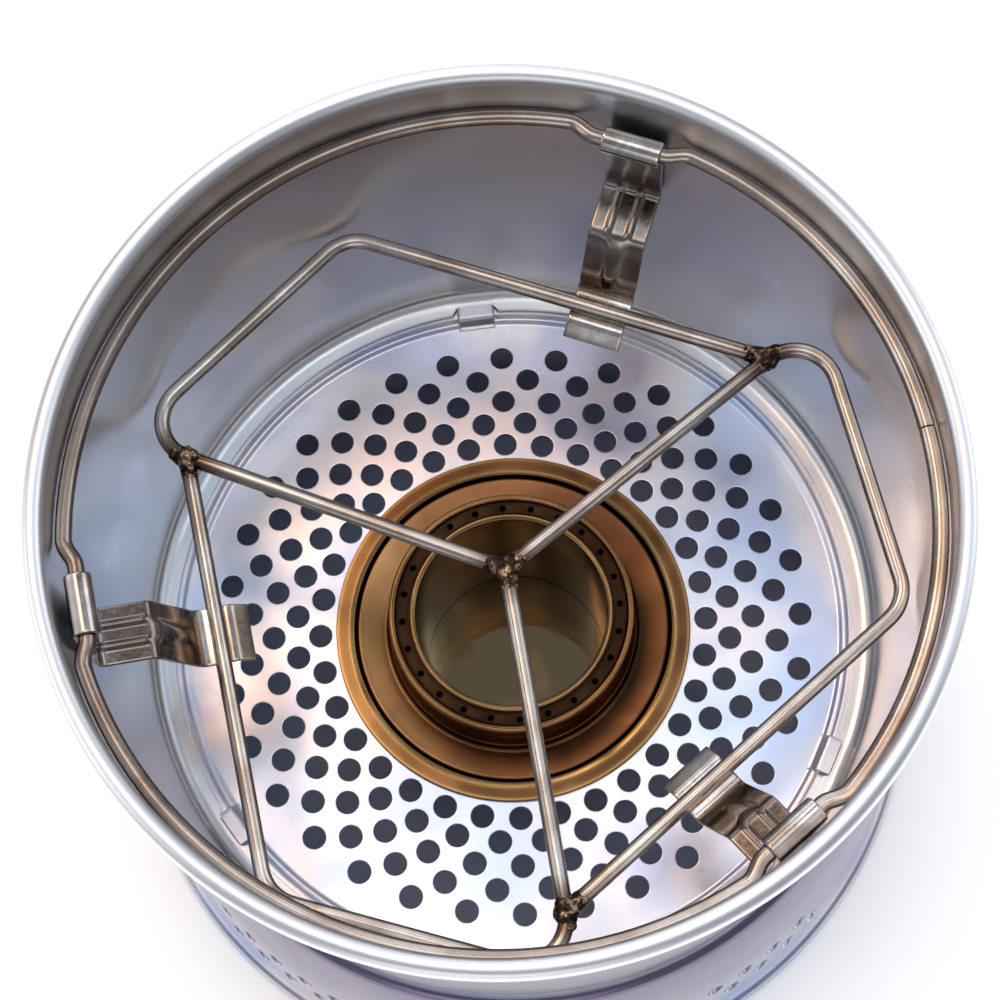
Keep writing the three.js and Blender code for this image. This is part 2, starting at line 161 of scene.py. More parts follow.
def circle_arc(r, z, radius, start, stop, steps):
    """Points of an arc in the (r, z) half plane, in degrees."""
    t = np.radians(np.linspace(start, stop, steps + 1))
    return np.stack([r + radius * np.cos(t), z + radius * np.sin(t)], -1)


def turned(r, z, theta):
    """Points at radius r and height z, turned to the angles theta, all arrays that broadcast."""
    r, z, theta = np.broadcast_arrays(r, z, theta)
    return np.stack([r * np.cos(theta), r * np.sin(theta), z], -1)


def lathe(profile, theta, wrap=True):
    """A profile of (r, z) rows, each turned about the axis through the angles theta."""
    points = turned(profile[:, :1], profile[:, 1:], theta)
    return points, quads(*points.shape[:2], wrap_rows=wrap, wrap_cols=True)


def smoothstep(x, low, high):
    """0 below low, 1 above high, and a smooth S between."""
    t = np.clip((x - low) / (high - low), 0, 1)
    return t * t * (3 - 2 * t)


def band(x, low, low_full, high_full, high):
    """0 outside low and high, 1 between the two full values, and smooth in between."""
    return smoothstep(x, low, low_full) * (1 - smoothstep(x, high_full, high))


def resample(line, step):
    """A line with its points spaced evenly, close to a step."""
    length = np.concatenate([[0], np.cumsum(np.hypot(*np.diff(line, axis=0).T))])
    even_length = np.linspace(0, length[-1], int(length[-1] / step))
    return np.stack([np.interp(even_length, length, line[:, i]) for i in (0, 1)], -1)


def tube(path, radius, sides):
    """A round section carried along a level path, its two ends closed at their middles."""
    along = np.gradient(path, axis=0)
    along /= np.linalg.norm(along, axis=1, keepdims=True)
    side = np.cross([0.0, 0.0, 1.0], along)
    side /= np.linalg.norm(side, axis=1, keepdims=True)
    rise = np.cross(along, side)
    t = np.linspace(0, 2 * np.pi, sides, endpoint=False)[None, :, None]
    points = path[:, None] + radius * (np.cos(t) * side[:, None] + np.sin(t) * rise[:, None])
    first, last = path[None, :1].repeat(sides, 1), path[None, -1:].repeat(sides, 1)
    points = np.concatenate([first, points, last])
    return points, quads(*points.shape[:2], wrap_cols=True)


print("points in a right angle rounded with an arc:", len(rounded([(0, 0), (5, 0), (5, 5)], [1])))

# %% [markdown]
# ## Holes without cutting
# The plate has five rings of air holes, each ring turned half a hole against the next, and the
# skirt has two rows of vents laid out the same way. Each hole gets a cell of its own: a border
# shared with its neighbours, the rounded edge of the hole, the wall through the sheet, and the
# border again on the under side. The cells tile like bricks, so no cutting is needed.

# %% Helper: pierced cells
def pierced(centre, border, radius, layers, place):
    """Rings round each hole, from its cell's border in through the sheet and out again.

    A ring is the hole's circle grown by an extra, taken in the direction of each border point, or
    the border itself where the extra is None; place puts a ring at its depth in the sheet.
    """
    out = border - centre[:, None]
    unit = out / np.linalg.norm(out, axis=-1, keepdims=True)
    rings = [
        place(border if extra is None else centre[:, None] + unit * (radius + extra), depth)
        for extra, depth in layers
    ]
    points = np.stack(rings, axis=1)
    cells, rows, cols, _ = points.shape
    one = quads(rows, cols, wrap_cols=True)
    return points, one[None] + np.arange(cells)[:, None, None, None] * rows * cols


def cell_border(columns, rows, lower, upper):
    """Round a cell's border: shares from -1 to 1 across, and its height from lower to upper."""
    a = np.linspace(-1, 1, columns + 1)
    side = np.linspace(0, 1, rows + 1)
    right = lower[-1] + (upper[-1] - lower[-1]) * side
    left = lower[0] + (upper[0] - lower[0]) * side
    across = np.concatenate([a[:-1], np.ones(rows), a[:0:-1], -np.ones(rows)])
    height = np.concatenate([lower[:-1], right[:-1], upper[:0:-1], left[:0:-1]])
    return across, height


HOLE_COLUMNS, VENT_COLUMNS, JET_COLUMNS, CELL_ROWS = 12, 6, 16, 4
print("points round a hole's cell:", 2 * (HOLE_COLUMNS + CELL_ROWS))

# %% [markdown]
# ## The lower windshield
# One sheet of aluminium, spun: a flat plate, a raised ring that centres the upper windshield, a
# rounded shoulder, a flared skirt and a rolled foot. The plate's cells end on plain rings, where
# the turned profiles take over with the same columns, so the whole piece closes without a seam.

# %% Sizes of the lower windshield
SHEET = 1.0
GAP = 0.3
WALL_FOOT = 76.6
SHOULDER = WALL_FOOT + SHEET
SHOULDER_ROUND = 2.6
SKIRT_TOP = SHOULDER + SHOULDER_ROUND
SKIRT_FOOT = SKIRT_TOP + 6.2
FOOT_BEAD = 2.1
FLANGE = WALL_FOOT - 4.6
RING = FLANGE - 2.0
CUP = 34.2
COLLAR = CUP + 3.4
HOLES = 32
HOLE = 2.4
HOLE_STEP = 5.0
HOLE_RINGS = COLLAR + 3.4 + HOLE_STEP * np.arange(5)
HOLE_START = 2.0
HOLE_PITCH = 360 / HOLES
CELL_MARGIN = 3.2
COLUMNS = HOLES * HOLE_COLUMNS
STEP = 360 / COLUMNS
VENTS = 19
VENT = 2.0
VENT_PITCH = 5.3
VENT_ROWS = (17.6, 12.0)
VENT_CELL = (VENT_ROWS[0] - VENT_ROWS[1]) / 2
VENT_START = 257 - VENTS / 2 * VENT_PITCH
print("outer ring of holes at r", HOLE_RINGS[-1], "skirt foot at r", SKIRT_FOOT)

# %% The plate's air holes
def plate_place(xy, depth):
    """A point of the plate, at a depth below its top face."""
    z = np.full(xy.shape[:-1] + (1,), PLATE - depth)
    return np.concatenate([xy, z], -1)


def hole_ring(k):
    """Cells of one ring of holes; borders wave, as each hole bulges into its neighbours' gap."""
    wave, half = 0.55, HOLE_STEP / 2
    phase = np.radians(HOLE_START + HOLE_PITCH * (np.arange(HOLES) + (k % 2) / 2))
    swell = wave * np.cos(np.linspace(-np.pi, np.pi, HOLE_COLUMNS + 1))
    r = HOLE_RINGS[k]
    lower = r - half - swell if k else 0 * swell + r - CELL_MARGIN
    upper = r + half + swell if k < len(HOLE_RINGS) - 1 else 0 * swell + r + CELL_MARGIN
    across, height = cell_border(HOLE_COLUMNS, CELL_ROWS, lower, upper)
    theta = phase[:, None] + across * np.radians(HOLE_PITCH / 2)
    border = np.stack([height * np.cos(theta), height * np.sin(theta)], -1)
    centre = np.stack([r * np.cos(phase), r * np.sin(phase)], -1)
    edge = [(0.32, 0), (0.2, 0), (0.13, 0.01), (0.04, 0.06), (0, 0.16)]
    layers = [(None, 0), *edge, (0, SHEET), (None, SHEET)]
    return pierced(centre, border, HOLE, layers, plate_place)


plate_cells = [hole_ring(k) for k in range(len(HOLE_RINGS))]
print("cells in the plate:", sum(len(points) for points, _ in plate_cells))

# %% The plate's rims, the skirt and its vents
# The columns start where the vents do. At the vents' height they crowd together, so that six of
# them span a vent; up at the plate they are even, and meet the columns of the holes' cells.
first_column = 221
order = np.arange(COLUMNS)
even = np.radians(HOLE_START - HOLE_PITCH / 2 + STEP * (first_column + order))
sector = VENTS * VENT_COLUMNS + VENT_COLUMNS // 2
vents_end = VENT_START + sector * VENT_PITCH / VENT_COLUMNS
warped = np.radians(
    np.interp(order, [0, sector, COLUMNS], [VENT_START, vents_end, VENT_START + 360])
)
hole_edge = CUP + 2 * GAP
cells_start = HOLE_RINGS[0] - CELL_MARGIN
inner_rim = np.concatenate([
    [[cells_start, PLATE]],
    rounded([(cells_start - 0.2, PLATE), (hole_edge, PLATE), (hole_edge, PLATE - SHEET),
             (cells_start - 0.2, PLATE - SHEET)], [0.25, 0.1], 4),
    [[cells_start, PLATE - SHEET]],
])
ring_half, ring_rise = 1.3, 0.6
ring_r = np.linspace(-ring_half, ring_half, 15)
ring_z = PLATE + ring_rise * np.cos(ring_r / ring_half * np.pi / 2) ** 2
ring_line = np.stack([RING + ring_r, ring_z], -1)
plate_edge = HOLE_RINGS[-1] + CELL_MARGIN


def skirt_line(z, depth=0.0):
    """Radius of the skirt's outer face at a height, less a depth."""
    top, foot = PLATE - SHOULDER_ROUND, 2 * FOOT_BEAD
    return SKIRT_TOP + (SKIRT_FOOT - SKIRT_TOP) * (top - z) / (top - foot) - depth


vent_z = np.linspace(VENT_ROWS[0] + VENT_CELL, VENT_ROWS[1] - VENT_CELL, 2 * CELL_ROWS + 1)
shoulder = circle_arc(SHOULDER, PLATE - SHOULDER_ROUND, SHOULDER_ROUND, 90, 8, 9)
outer_skirt = np.concatenate([[24.0], vent_z])
outer_line = np.concatenate([
    [[plate_edge, PLATE], [plate_edge + 0.2, PLATE], [RING - 1.6, PLATE]],
    ring_line,
    [[RING + 1.6, PLATE], [SHOULDER - 0.8, PLATE]],
    shoulder,
    [[skirt_line(46.0), 46.0]],
    np.stack([skirt_line(outer_skirt), outer_skirt], -1),
])
bead = circle_arc(SKIRT_FOOT, FOOT_BEAD, FOOT_BEAD, 68, -248, 22)
foot_line = np.concatenate([[[skirt_line(5.4), 5.4]], bead, [[skirt_line(5.4, SHEET), 5.4]]])
inner_skirt = outer_skirt[::-1]
inner_line = np.concatenate([
    np.stack([skirt_line(inner_skirt, SHEET), inner_skirt], -1),
    [[skirt_line(46.0, SHEET), 46.0]],
    circle_arc(SHOULDER, PLATE - SHOULDER_ROUND, SHOULDER_ROUND - SHEET, 8, 90, 6),
    [[RING + 1.6, PLATE - SHEET], [RING - 1.6, PLATE - SHEET], [plate_edge, PLATE - SHEET]],
])
body_line = np.concatenate([outer_line, foot_line, inner_line])
warp = 1 - smoothstep(body_line[:, 1], VENT_ROWS[0] + VENT_CELL, PLATE - SHOULDER_ROUND)
body_theta = even + warp[:, None] * (warped - even)
body_points = turned(body_line[:, :1], body_line[:, 1:], body_theta)
body_quads = quads(*body_points.shape[:2], wrap_cols=True)
print("skirt's profile:", len(body_line), "points, turned to", COLUMNS, "columns")

# %% Leave the vents' cells out of the skirt, and put the pierced ones in
outer_row = len(outer_line) - len(vent_z)
inner_row = len(outer_line) + len(foot_line)
keep_quad = np.ones(body_quads.shape[:2], bool)
for high_row, low_row in ((outer_row, outer_row + CELL_ROWS), (inner_row + CELL_ROWS, inner_row)):
    keep_quad[high_row:high_row + CELL_ROWS, :VENTS * VENT_COLUMNS] = False
    keep_quad[low_row:low_row + CELL_ROWS, VENT_COLUMNS // 2:sector] = False


def vent_place(xy, depth):
    """A point of the skirt from its arc length and height, at a depth below the outer face."""
    theta, z = xy[..., 0] / SKIRT_FOOT, xy[..., 1]
    return turned(skirt_line(z, depth), z, theta)


def vent_row(row):
    """Cells of one row of vents; the second row is half a pitch on."""
    mid = np.radians(VENT_START + VENT_PITCH * (np.arange(VENTS) + 0.5 + row / 2)) * SKIRT_FOOT
    z = np.full(VENT_COLUMNS + 1, VENT_ROWS[row])
    across, height = cell_border(VENT_COLUMNS, CELL_ROWS, z - VENT_CELL, z + VENT_CELL)
    half = np.radians(VENT_PITCH / 2) * SKIRT_FOOT
    arc = mid[:, None] + across * half
    border = np.stack([arc, np.broadcast_to(height, arc.shape)], -1)
    centre = np.stack([mid, np.full(VENTS, VENT_ROWS[row])], -1)
    layers = [(None, 0), (0.3, 0), (0.2, 0), (0.05, 0.03), (0, 0.15), (0, SHEET), (None, SHEET)]
    return pierced(centre, border, VENT, layers, vent_place)


lower = mesh_object("lower_shell", plate_cells + [
    lathe(inner_rim, even, wrap=False),
    (body_points, body_quads[keep_quad]),
    vent_row(0),
    vent_row(1),
])

# %% [markdown]
# ## Metals
# All the metals share one recipe: a Principled shader at full metallic, a soft large noise that
# picks the tint, and a finer noise that varies the roughness. Two numbers stored on each piece's
# vertices lay on colours where no noise would. The first is real soot and heat marks on some pieces
# and painted shade and painted reflection on others. The second is a painted highlight on crests,
# edges and one side. Some metals also darken with a painted shade at their outline. The noises read
# Object coordinates, so everything stays on the piece as it moves.

# %% Helper: a worked metal
def add(tree, kind, **values):
    """A shader node with its sockets and settings given by name."""
    node = tree.nodes.new("ShaderNode" + kind)
    for name, value in values.items():
        socket = node.inputs.get(name.replace("_", " "))
        if socket is None:
            setattr(node, name, value)
        else:
            socket.default_value = value
    return node


def ramp(tree, source, stops):
    """A colour ramp over a value: stops are (position, colour)."""
    node = tree.nodes.new("ShaderNodeValToRGB")
    elements = node.color_ramp.elements
    while len(elements) < len(stops):
        elements.new(0.5)
    for element, (position, colour) in zip(elements, stops):
        element.position = position
        element.color = (*colour, 1.0)
    tree.links.new(source, node.inputs["Fac"])
    return node.outputs["Color"]


def span(tree, source, low, high, to_low, to_high):
    """A value carried from one range to another."""
    node = add(tree, "MapRange", From_Min=low, From_Max=high, To_Min=to_low, To_Max=to_high)
    tree.links.new(source, node.inputs["Value"])
    return node.outputs["Result"]


def blend(tree, amount, first, second):
    """A colour that goes from first to the fixed colour second as amount goes from 0 to 1."""
    node = add(tree, "Mix", data_type="RGBA")
    tree.links.new(amount, node.inputs["Factor"])
    tree.links.new(first, node.inputs[6])
    node.inputs[7].default_value = (*second, 1.0)
    return node.outputs[2]


def from_axis(tree, place):
    """The distance of a place from the Z axis, and the node with its separate coordinates."""
    split = add(tree, "SeparateXYZ")
    tree.links.new(place, split.inputs[0])
    flat = add(tree, "CombineXYZ")
    for axis in "XY":
        tree.links.new(split.outputs[axis], flat.inputs[axis])
    radius = add(tree, "VectorMath", operation="LENGTH")
    tree.links.new(flat.outputs[0], radius.inputs[0])
    return radius.outputs["Value"], split


def worked_metal(
    name, tints, patch, rough, marks,
    stain_and_shade=None, painted_highlight=None, edge=None, relief=0.04, sheen=None, tint=None,
):
    """Metal with soft tints, a range of roughness and fine marks.

    tints is a ramp's stops and patch the size of its patches in metres. marks is (kind, size): the
    kind "rings" runs round the axis, as on a turned piece, and "grain" is even. The two colours
    after marks are laid on by the piece's own stored values of the same names. The first is real
    soot and heat marks on some pieces and painted shade and painted reflection on others, and the
    second is a painted highlight. edge is a painted shade colour that comes in where the surface
    turns away from the camera. sheen is (name, roughness): the roughness where that value is 1.
    tint dims the metal at a glancing angle, and relief is the marks' bump.
    """
    material = bpy.data.materials.new(name)
    material.use_nodes = True
    tree = material.node_tree
    link = tree.links.new
    shader = tree.nodes["Principled BSDF"]
    shader.inputs["Metallic"].default_value = 1.0
    place = add(tree, "TexCoord").outputs["Object"]

    soft = add(tree, "TexNoise", Scale=1 / patch, Detail=2.0, Roughness=0.5, Distortion=0.4)
    link(place, soft.inputs["Vector"])
    colour = ramp(tree, soft.outputs["Fac"], tints)
    # Real soot and heat marks on some pieces, painted shade and painted reflection on others.
    if stain_and_shade is not None:
        own = add(tree, "Attribute", attribute_name="stain_and_shade")
        colour = blend(tree, own.outputs["Fac"], colour, stain_and_shade)
    # A painted highlight.
    if painted_highlight is not None:
        bright = add(tree, "Attribute", attribute_name="painted_highlight")
        colour = blend(tree, bright.outputs["Fac"], colour, painted_highlight)
    # A painted shade at the outline, where the surface turns away from the camera.
    if edge is not None:
        painted_edge_shade = add(tree, "LayerWeight", Blend=0.5)
        amount = span(tree, painted_edge_shade.outputs["Facing"], 0.35, 0.92, 0.0, 1.0)
        colour = blend(tree, amount, colour, edge)
    link(colour, shader.inputs["Base Color"])

    kind, size = marks
    if kind == "rings":
        radius, split = from_axis(tree, place)
        section = add(tree, "CombineXYZ", Y=0.37 * size)
        link(radius, section.inputs["X"])
        link(split.outputs["Z"], section.inputs["Z"])
        place = section.outputs[0]
    fine = add(tree, "TexNoise", Scale=1 / size, Detail=2.0, Roughness=0.6, Lacunarity=2.37)
    link(place, fine.inputs["Vector"])
    roughness = span(tree, fine.outputs["Fac"], 0.3, 0.7, *rough)
    if sheen is not None:
        mixed = add(tree, "Mix", data_type="FLOAT")
        link(add(tree, "Attribute", attribute_name=sheen[0]).outputs["Fac"], mixed.inputs["Factor"])
        link(roughness, mixed.inputs[2])
        mixed.inputs[3].default_value = sheen[1]
        roughness = mixed.outputs[0]
    if tint is not None:
        shader.inputs["Specular Tint"].default_value = (*tint, 1.0)
    link(roughness, shader.inputs["Roughness"])
    if relief:
        bump = add(tree, "Bump", Strength=relief, Distance=0.0001)
        link(fine.outputs["Fac"], bump.inputs["Height"])
        link(bump.outputs["Normal"], shader.inputs["Normal"])
    return material


def paint(obj, value, name="stain_and_shade"):
    """Store value(x, y, z), with the vertices in millimetres, as a number on each vertex."""
    points = np.empty(len(obj.data.vertices) * 3)
    obj.data.vertices.foreach_get("co", points)
    x, y, z = points.reshape(-1, 3).T / MM
    layer = obj.data.attributes.new(name, "FLOAT", "POINT")
    number = np.clip(value(x, y, z), 0, 1).astype(np.float32)
    layer.data.foreach_set("value", number)
    print(f"{obj.name}: {name} on {np.mean(number > 0.05):.0%} of its vertices")


# %% The aluminium
# The plate's dark stain colour is the skirt's painted shade and painted reflection.
plate_metal = worked_metal(
    "spun_aluminium_plate",
    [(0.36, (0.60, 0.70, 0.93)), (0.46, (0.80, 0.85, 0.97)),
     (0.54, (0.95, 0.88, 0.90)), (0.64, (0.70, 0.71, 0.88))],
    0.042, (0.26, 0.33), ("grain", 0.012), stain_and_shade=(0.23, 0.20, 0.29), relief=0,
)
# The wall's dark stain colour is a painted shade and painted reflection on its outer face. Its
# near-white second colour is a painted highlight on the bead.
wall_metal = worked_metal(
    "spun_aluminium_wall",
    [(0.34, (0.76, 0.78, 0.81)), (0.5, (0.84, 0.84, 0.85)), (0.66, (0.90, 0.88, 0.86))],
    0.06, (0.27, 0.34), ("grain", 0.015), stain_and_shade=(0.40, 0.40, 0.43), painted_highlight=(0.97, 0.97, 0.97),
    sheen=("painted_highlight", 0.40), relief=0,
)
tab_metal = worked_metal(
    "pressed_aluminium_tab",
    [(0.34, (0.72, 0.74, 0.80)), (0.5, (0.80, 0.80, 0.84)), (0.66, (0.85, 0.84, 0.86))],
    0.02, (0.30, 0.38), ("grain", 0.0018),
)
print("finishes:", plate_metal.name, wall_metal.name, tab_metal.name)

# %% The steel
# The wire's edge colour is a painted shade along its outline. Its stain colour is real heat marks
# on the trivet and a tint with painted shade on the rail.
wire_metal = worked_metal(
    "drawn_steel_wire",
    [(0.36, (0.50, 0.41, 0.34)), (0.5, (0.62, 0.53, 0.46)), (0.64, (0.71, 0.64, 0.57))],
    0.010, (0.20, 0.28), ("grain", 0.0010), stain_and_shade=(0.16, 0.09, 0.05), edge=(0.13, 0.08, 0.055),
)
strip_metal = worked_metal(
    "heat_tinted_steel_strip",
    [(0.34, (0.42, 0.34, 0.28)), (0.48, (0.56, 0.51, 0.47)),
     (0.58, (0.72, 0.67, 0.60)), (0.70, (0.54, 0.52, 0.53))],
    0.008, (0.11, 0.22), ("grain", 0.0009), stain_and_shade=(0.13, 0.095, 0.075), relief=0.06,
)
weld_metal = worked_metal(
    "weld_bead_steel",
    [(0.40, (0.03, 0.02, 0.015)), (0.54, (0.11, 0.07, 0.045)),
     (0.63, (0.62, 0.44, 0.25)), (0.72, (0.10, 0.075, 0.06))],
    0.0016, (0.25, 0.45), ("grain", 0.0005), relief=0.3,
)
print("finishes:", wire_metal.name, strip_metal.name, weld_metal.name)

# %% The brass
# The golden second colour of each brass finish is a painted highlight.
brass_metal = worked_metal(
    "heat_darkened_brass",
    [(0.36, (0.18, 0.078, 0.034)), (0.5, (0.25, 0.114, 0.048)), (0.62, (0.34, 0.168, 0.071))],
    0.016, (0.20, 0.30), ("rings", 0.0014), stain_and_shade=(0.016, 0.010, 0.006), painted_highlight=(0.74, 0.45, 0.17),
    sheen=("stain_and_shade", 0.42), tint=(0.60, 0.48, 0.40),
)
bowl_metal = worked_metal(
    "oiled_brass_bowl",
    [(0.36, (0.11, 0.050, 0.022)), (0.5, (0.155, 0.074, 0.032)), (0.62, (0.23, 0.114, 0.049))],
    0.016, (0.20, 0.30), ("grain", 0.009), stain_and_shade=(0.36, 0.27, 0.14), painted_highlight=(0.80, 0.50, 0.18),
    sheen=("stain_and_shade", 0.04), tint=(0.60, 0.48, 0.40),
)
well_metal = worked_metal(
    "sooted_brass_well",
    [(0.36, (0.20, 0.105, 0.050)), (0.5, (0.28, 0.155, 0.075)), (0.62, (0.38, 0.22, 0.10))],
    0.016, (0.20, 0.30), ("grain", 0.006), stain_and_shade=(0.075, 0.066, 0.052), painted_highlight=(0.74, 0.45, 0.17),
    sheen=("stain_and_shade", 0.16), tint=(0.44, 0.42, 0.42),
)
print("finishes:", brass_metal.name, bowl_metal.name, well_metal.name)


# %% Finish the lower windshield
def painted_skirt_shade(x, y, z):
    """Painted shade and painted reflection on the skirt, darkest near the shoulder, none on the
    plate.
    """
    on_skirt = smoothstep(np.hypot(x, y), 76.0, 78.5)
    return on_skirt * (0.35 + 0.65 * smoothstep(z, 8, 40)) * (z < PLATE + 1.5)


paint(lower, painted_skirt_shade)
keep(lower, "base", "aluminium", plate_metal, "lower_windshield")

# %% [markdown]
# ## Three tabs
# Three narrow tabs rise from the plate's raised ring and reach out over the upper windshield's
# flange. Each is a short strip: a rounded section, carried along a line that steps up and out.

# %% Helper: a strip along a line
def strip(line, width, thick, edge=0.25, shape=None, sides=10):
    """A flat section carried along a line in the (r, z) plane, across +Y, before it is turned.

    The section is a rectangle with edges rounded by edge. shape(s, y), a height in mm, presses both
    faces of the sheet towards the line's right-hand side at the length s and the offset y.
    """
    line = np.asarray(line, float)
    step = np.diff(line, axis=0)
    length = np.concatenate([[0], np.cumsum(np.hypot(*step.T))])
    along = np.gradient(line, length, axis=0)
    along /= np.linalg.norm(along, axis=1, keepdims=True)
    right = np.stack([along[:, 1], -along[:, 0]], -1)
    inner = width / 2 - edge
    y = np.linspace(-inner, inner, sides + 1)
    t = np.radians(np.linspace(-90, 90, 7))[1:-1]
    cap = np.stack([inner + edge * np.cos(t), thick / 2 * np.sin(t)], -1)
    face = np.full(len(y), thick / 2)
    section = np.concatenate([
        np.stack([y[::-1], -face], -1)[::-1],
        cap,
        np.stack([y[::-1], face], -1),
        cap[::-1] * [-1, 1],
    ])
    across, off = section[:, 0], section[:, 1]
    press = 0 if shape is None else shape(length[:, None], across[None, :])
    shift = off[None, :] + press
    r = line[:, :1] + right[:, :1] * shift
    z = line[:, 1:] + right[:, 1:] * shift
    points = np.stack([r, np.broadcast_to(across, r.shape), z], -1)
    ends = [np.broadcast_to(points[i].mean(0), points[i:i + 1 or None].shape) for i in (0, -1)]
    points = np.concatenate([ends[0], points, ends[1]])
    return points, quads(*points.shape[:2], wrap_cols=True)


def about_axis(points, degrees):
    """Points turned about Z."""
    a = np.radians(degrees)
    turn = np.array([[np.cos(a), np.sin(a), 0], [-np.sin(a), np.cos(a), 0], [0, 0, 1]])
    return points @ turn


print("+X turned by 90 degrees about Z:", about_axis(np.array([1.0, 0, 0]), 90).round(6))

# %% Make the tabs
TABS = (85, 205, 325)
TAB_RISE = 1.92
tab_line = rounded(
    [(RING - 1.6, PLATE + 0.1), (RING - 0.9, PLATE + 0.2), (RING + 0.3, PLATE + TAB_RISE),
     (RING + 3.0, PLATE + TAB_RISE)],
    [0.4, 0.9], 5,
)
for n, degrees in enumerate(TABS, 1):
    points, faces = strip(tab_line, 8.0, 0.6, edge=0.2)
    tab = mesh_object(f"foot_tab_{n}", [(about_axis(points, degrees), faces)], 50)
    keep(tab, "base", "aluminium", tab_metal)

# %% [markdown]
# ## The upper windshield
# A second spun sheet: its foot flange lies on the plate, a small bend turns it up into a wall that
# flares towards the top, and the top edge is rolled outwards into a hollow bead. The flange's edge
# draws back at the three tabs. All of it is one closed profile, turned about the axis.

# %% Make the upper windshield
FLARE = 5.8
WALL = 92.0
WALL_TOP = WALL_FOOT + FLARE
RIM = PLATE + WALL
BEAD = 2.0
BEND = 3.2
FLANGE_Z = PLATE + GAP
WALL_SLOPE = FLARE / (WALL - BEAD - BEND)


def wall_inside(z):
    """Inside radius of the flared wall at a height."""
    return WALL_FOOT + WALL_SLOPE * (z - PLATE - BEND)


tilt = np.arctan(WALL_SLOPE)
lean = np.degrees(tilt)
bend_end = FLANGE_Z + SHEET + BEND - BEND * np.sin(tilt)
bend_mid = (wall_inside(bend_end) - BEND * np.cos(tilt), FLANGE_Z + SHEET + BEND)
wall_z = np.linspace(60, 134, 10)
upper_line = np.concatenate([
    rounded([(FLANGE + 0.4, FLANGE_Z + SHEET), (FLANGE, FLANGE_Z + SHEET), (FLANGE, FLANGE_Z),
             (FLANGE + 1.2, FLANGE_Z)], [0.15, 0.15], 3),
    circle_arc(*bend_mid, BEND + SHEET, -90, -lean, 10),
    np.stack([wall_inside(wall_z) + SHEET, wall_z], -1),
    [[WALL_TOP + SHEET - 0.1, RIM - 3.4], [WALL_TOP + SHEET, RIM - BEAD * 0.95]],
    circle_arc(WALL_TOP + 1.0, RIM, BEAD, -52, 208, 28),
    [[WALL_TOP - 0.15, RIM - 3.2]],
    np.stack([wall_inside(wall_z[::-1]), wall_z[::-1]], -1),
    circle_arc(*bend_mid, BEND, -lean, -90, 8),
])
upper_r, upper_z = upper_line[:, :1], upper_line[:, 1:]
turn = np.linspace(0, 2 * np.pi, 400, endpoint=False)
near_tab = np.abs((np.degrees(turn) - TABS[0] + 60) % 120 - 60) * np.radians(FLANGE)
notch = 1.2 * (1 - smoothstep(near_tab, 4.1, 4.5))
on_edge = (1 - smoothstep(upper_r, FLANGE + 0.3, FLANGE + 2.6)) * (upper_z < PLATE + 2)
points = turned(upper_r + notch * on_edge, upper_z, turn)
faces = quads(*points.shape[:2], wrap_rows=True, wrap_cols=True)
upper = mesh_object("upper_shell", [(points, faces)])
keep(upper, "upper", "aluminium", wall_metal, "upper_windshield")


def painted_outer_shade(x, y, z):
    """Painted shade and painted reflection on the wall's outer face, below the bead and above the
    bend.
    """
    outside = smoothstep(np.hypot(x, y) - wall_inside(z), 0.35, 0.7)
    return outside * (1 - smoothstep(z, RIM - 6, RIM - 2.5)) * (z > PLATE + 4)


def painted_bead_highlight(x, y, z):
    """A painted highlight on the rim's bead."""
    return smoothstep(z, RIM - 2.6, RIM - 1.4)


paint(upper, painted_outer_shade)
# The bead's bright values are a painted highlight.
paint(upper, painted_bead_highlight, "painted_highlight")

# %% [markdown]
# ## The wire rail
# A single wire runs round inside the wall. At each support it steps inwards into a short straight
# length, the pin that the support swings on. The path gives its radius as a function of the angle.

# %% Make the rail
WIRE = 1.5
WIRE_SHOWN = WIRE + 0.08
RAIL_Z = RIM - 11.5
RAIL = wall_inside(RAIL_Z) - GAP - WIRE
HINGE = RAIL - 2.4
STATIONS = (60, 180, 300)
STRIP_WIDTH = 11.7
straight = STRIP_WIDTH / 2 + 1.2
jog = 5.0


def rail_radius(theta):
    """The rail's radius at an angle: its circle, or the straight line across a hinge station."""
    radius = np.full_like(theta, RAIL)
    for station in np.radians(STATIONS):
        off = np.arctan2(np.sin(theta - station), np.cos(theta - station))
        near = np.clip(off, -1, 1)
        across = np.abs(HINGE * np.tan(near))
        out = smoothstep(across, straight, straight + jog)
        pin = HINGE / np.cos(near)
        radius = np.where(across < straight + jog, pin + (RAIL - pin) * out, radius)
    return radius


def rail_tint_and_shade(x, y, z):
    """A little darker tint everywhere, and a painted shade on the left and back, where the rail
    lies in shade.
    """
    return 0.2 + 0.4 * smoothstep(0.8 * y - x, 10, 75)


butt = 0.35
half_butt = butt / RAIL / 2
angle = np.linspace(half_butt, 2 * np.pi - half_butt, 900)
rail_path = turned(rail_radius(angle), RAIL_Z, angle)
rail = mesh_object("rail_wire", [tube(rail_path, WIRE_SHOWN, 22)], 50)
paint(rail, rail_tint_and_shade)
keep(rail, "upper", "steel", wire_metal, "support_rail")

# %% [markdown]
# ## Pot supports
# Each support is a steel strip, rolled round the rail's pin at the top. It drops down the wall,
# turns in to a ledge, falls steeply to a flat seat, and ends in a small turned-down lip. Two ribs
# are pressed along the ledge, and a tapering dart stiffens the steep length below the knee.

